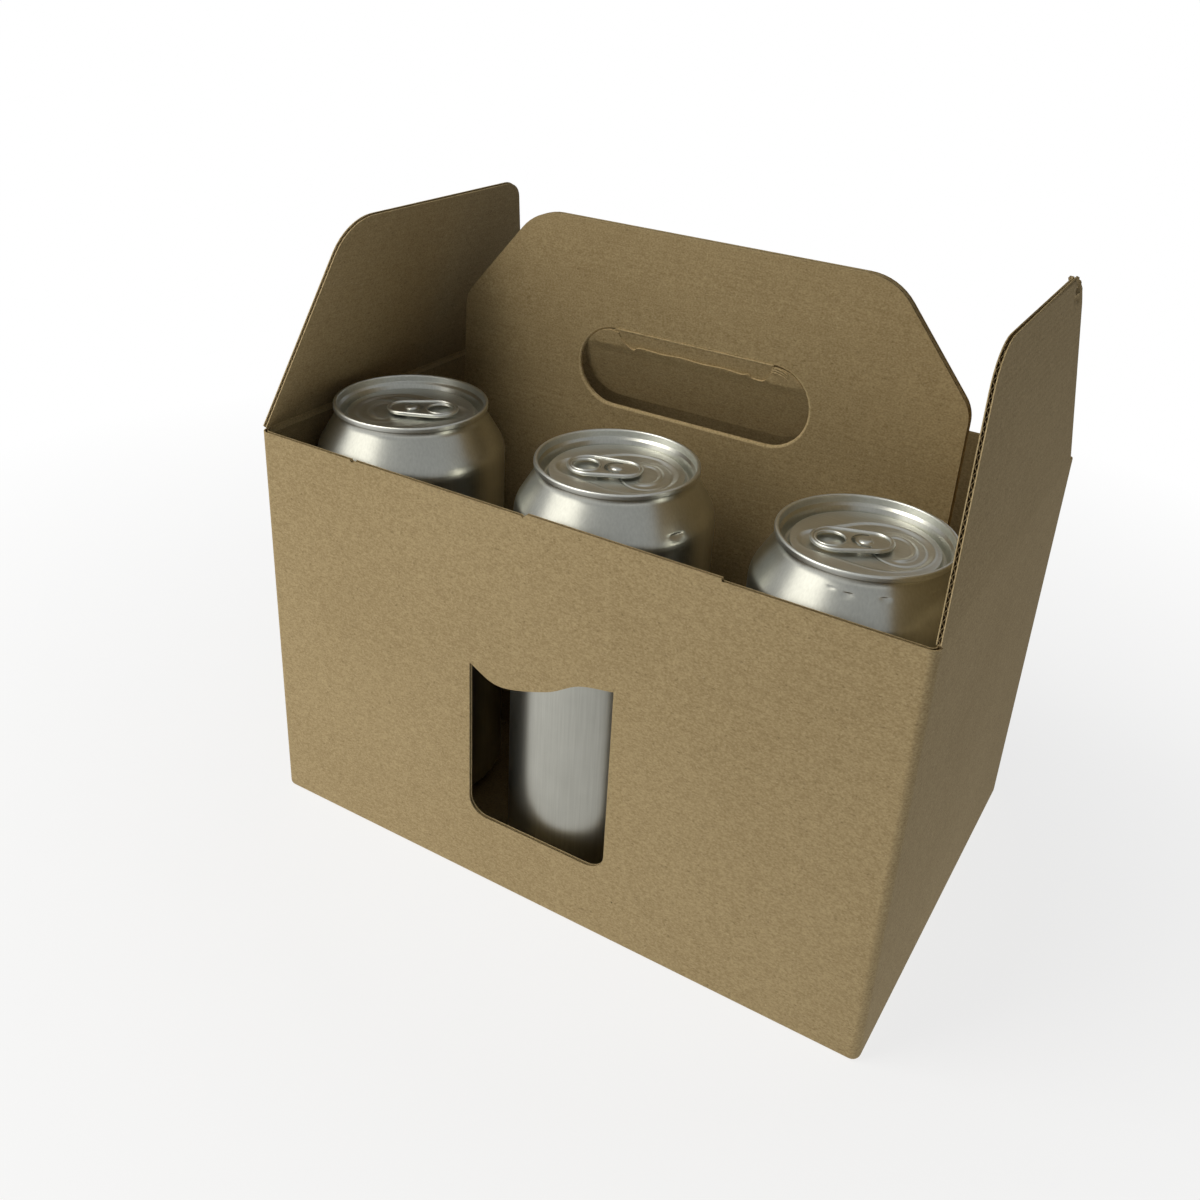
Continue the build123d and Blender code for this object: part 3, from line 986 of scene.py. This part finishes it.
def drink_can(name, node, turn, knocks):
    """One can, turned so that its mouth points the given way, with its knocks."""
    mesh = bmesh.new()
    turned_knocks = [(angle - turn, level, size) for angle, level, size in knocks]
    rings = [wall_ring(*point, turned_knocks if point.x > NECK_RADIUS else []) for point in can_profile]
    inner = PANEL_RADIUS - PANEL_EDGE
    rings += [panel_ring(inner * (1 - k / PANEL_RINGS)) for k in range(1, PANEL_RINGS)]
    tube(mesh, rings, closed=False)
    for face in mesh.faces:
        middle = face.calc_center_median()
        face.material_index = int(middle.z > SEAM_LEVEL or math.hypot(*middle.xy) < END_RADIUS)
    wall_faces = len(mesh.faces)
    riveted_tab(mesh)
    for face in list(mesh.faces)[wall_faces:]:
        face.material_index = 1
    low, high = [corner * 1000 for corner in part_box(node)]
    spot = Matrix.Translation(((low.x + high.x) / 2, (low.y + high.y) / 2, low.z))
    spin = Matrix.Rotation(math.radians(turn), 4, "Z")
    bmesh.ops.transform(mesh, matrix=spot @ spin, verts=mesh.verts)
    return finished(name, mesh, can_wall_metal, can_end_metal, crisp=50)


for place, turn in (("left", 212), ("middle", 22), ("right", 26)):
    can = drink_can(f"drink_can_{place}", f"can_{place}", turn, can_knocks[place])
    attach(can, "carrier")
    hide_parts(f"can_{place}")


# Studio. A pale paper floor under a soft window light and a ceiling light, both from the front left, with
# an even fill all round. The floor also glows with painted light: a painted pool of bounced light at the
# front left, and a painted reflection for the cans that darkens to the right. The camera stands where the
# photo was taken from. Lights and camera are placed in metres.
WHITE = (1, 1, 1, 1)
BLACK = (0, 0, 0, 1)
FLOOR_HALF = 8000
LIT_SPOT = (-0.4, -0.3, 0)
LIGHT_AIM = (-0.06, -0.08, 0.08)
CAMERA_PLACE = (0.17581, -0.35079, 0.31435)
CAMERA_AZIMUTH = math.radians(28.90)
CAMERA_ELEVATION = math.radians(25.80)
CAMERA_ROLL = math.radians(3.71)


def rays_of(shading):
    """Whether a ray comes from the camera itself, and whether by way of a mirror or glass."""
    rays = shading.node("ShaderNodeLightPath", {}, {})
    turned = {0: rays["Is Glossy Ray"], 1: rays["Is Transmission Ray"]}
    return rays["Is Camera Ray"], shading.node("ShaderNodeMath", {"operation": "MAXIMUM"}, turned)


floor_mesh = bmesh.new()
bmesh.ops.create_grid(floor_mesh, x_segments=1, y_segments=1, size=FLOOR_HALF)
floor_paper = bpy.data.materials.new("floor_paper")
floor_shading = Shading(floor_paper)
floor_place = floor_shading.node("ShaderNodeTexCoord", {}, {})["Object"]
floor_grain = floor_shading.speckle(floor_place, 40, 2.0)
floor_tone = floor_shading.mixed(floor_grain, colour(240, 240, 240), colour(248, 248, 248))
floor_shading.surface(Base_Color=floor_tone, Roughness=0.9, Specular_IOR_Level=0.1)
floor_seen, floor_mirrored = rays_of(floor_shading)
floor_reach = floor_shading.node("ShaderNodeVectorMath", {"operation": "LENGTH"}, {0: floor_place})
floor_away = floor_reach["Value"]
floor_across = floor_shading.node("ShaderNodeSeparateXYZ", {}, {0: floor_place})["X"]
# Painted light: for bounced rays the floor glows brightest round a spot at the front left and fades with
# distance; for glossy rays it glows as a painted reflection that is light on the left and dark on the
# right; the camera sees it white.
spot_away = floor_shading.node(
    "ShaderNodeVectorMath", {"operation": "DISTANCE"}, {0: floor_place, 1: LIT_SPOT}
)
spot_glow = floor_shading.between(spot_away["Value"], 0.1, 0.7, 2.2, 0.95)
bounce = spot_glow * floor_shading.between(floor_away, 0.4, 1.2, 1.0, 0.5)
bounced = floor_shading.node(
    "ShaderNodeVectorMath", {"operation": "SCALE"}, {0: WHITE[:3], "Scale": bounce}
)
painted_reflection_share = floor_shading.between(floor_across, -0.25, 0.25, 0.95, 0.28)
painted_reflection = floor_shading.mixed(painted_reflection_share, BLACK, WHITE)
glow = floor_shading.mixed(floor_seen, floor_shading.mixed(floor_mirrored, bounced, painted_reflection), WHITE)
painted_floor_glow = floor_shading.node("ShaderNodeEmission", {}, {"Color": glow, "Strength": 1.0})
floor_share = floor_seen * floor_shading.between(floor_away, 0.15, 0.5, 0.1, 0.3) + 0.7
floor_shader = Wire(floor_shading, floor_shading.tree.nodes["Principled BSDF"].outputs[0])
floor_blend = floor_shading.node(
    "ShaderNodeMixShader", {}, {0: floor_share, 1: floor_shader, 2: painted_floor_glow}
)
floor_shading.plug(floor_shading.tree.nodes["Material Output"].inputs["Surface"], floor_blend)
floor = finished("floor", floor_mesh, floor_paper)

world = bpy.data.worlds.new("studio_air")
bpy.context.scene.world = world
air = Shading(world)
sky = air.node("ShaderNodeTexCoord", {}, {})["Generated"]
sky_height = air.node("ShaderNodeSeparateXYZ", {}, {0: sky})["Z"]
air_seen, air_mirrored = rays_of(air)
sky_share = air.between(sky_height, 0.0, 0.2)
dim = air.mixed(sky_share, (0.12, 0.12, 0.12, 1), (0.05, 0.053, 0.056, 1))
bright = air.mixed(sky_share, WHITE, (0.40, 0.41, 0.42, 1))
air_colour = air.mixed(air_seen, air.mixed(air_mirrored, dim, bright), WHITE)
background = air.tree.nodes["Background"]
air.plug(background.inputs["Color"], air_colour)
air.plug(background.inputs["Strength"], 1.0)


def area_light(name, place, size, power, tint):
    """A soft square light, aimed at the front of the carton."""
    data = bpy.data.lights.new(name, "AREA")
    data.size = size
    data.energy = power
    data.color = tint
    light = bpy.data.objects.new(name, data)
    light.location = place
    light.rotation_euler = (Vector(LIGHT_AIM) - Vector(place)).to_track_quat("-Z", "Y").to_euler()
    bpy.context.scene.collection.objects.link(light)


area_light("ceiling_light", (-0.36, -0.40, 1.0), size=0.45, power=3.35, tint=(1.0, 0.962, 0.88))
area_light("window_light", (-0.54, -0.64, 0.66), size=0.75, power=2.7, tint=(1.0, 0.97, 0.9))

camera_back = Vector((
    math.sin(CAMERA_AZIMUTH) * math.cos(CAMERA_ELEVATION),
    -math.cos(CAMERA_AZIMUTH) * math.cos(CAMERA_ELEVATION),
    math.sin(CAMERA_ELEVATION),
))
level_right = (-camera_back).cross(Vector((0, 0, 1))).normalized()
level_up = level_right.cross(-camera_back)
camera_right = level_right * math.cos(CAMERA_ROLL) + level_up * math.sin(CAMERA_ROLL)
camera_up = level_up * math.cos(CAMERA_ROLL) - level_right * math.sin(CAMERA_ROLL)
camera_data = bpy.data.cameras.new("camera")
camera_data.lens = 36.05
camera_data.shift_x = -0.0245
camera_data.shift_y = -0.076
camera = bpy.data.objects.new("camera", camera_data)
camera_turn = Matrix((camera_right, camera_up, camera_back)).transposed().to_4x4()
camera.matrix_world = Matrix.Translation(CAMERA_PLACE) @ camera_turn
bpy.context.scene.collection.objects.link(camera)
bpy.context.scene.camera = camera
bpy.context.scene.view_settings.view_transform = "Standard"
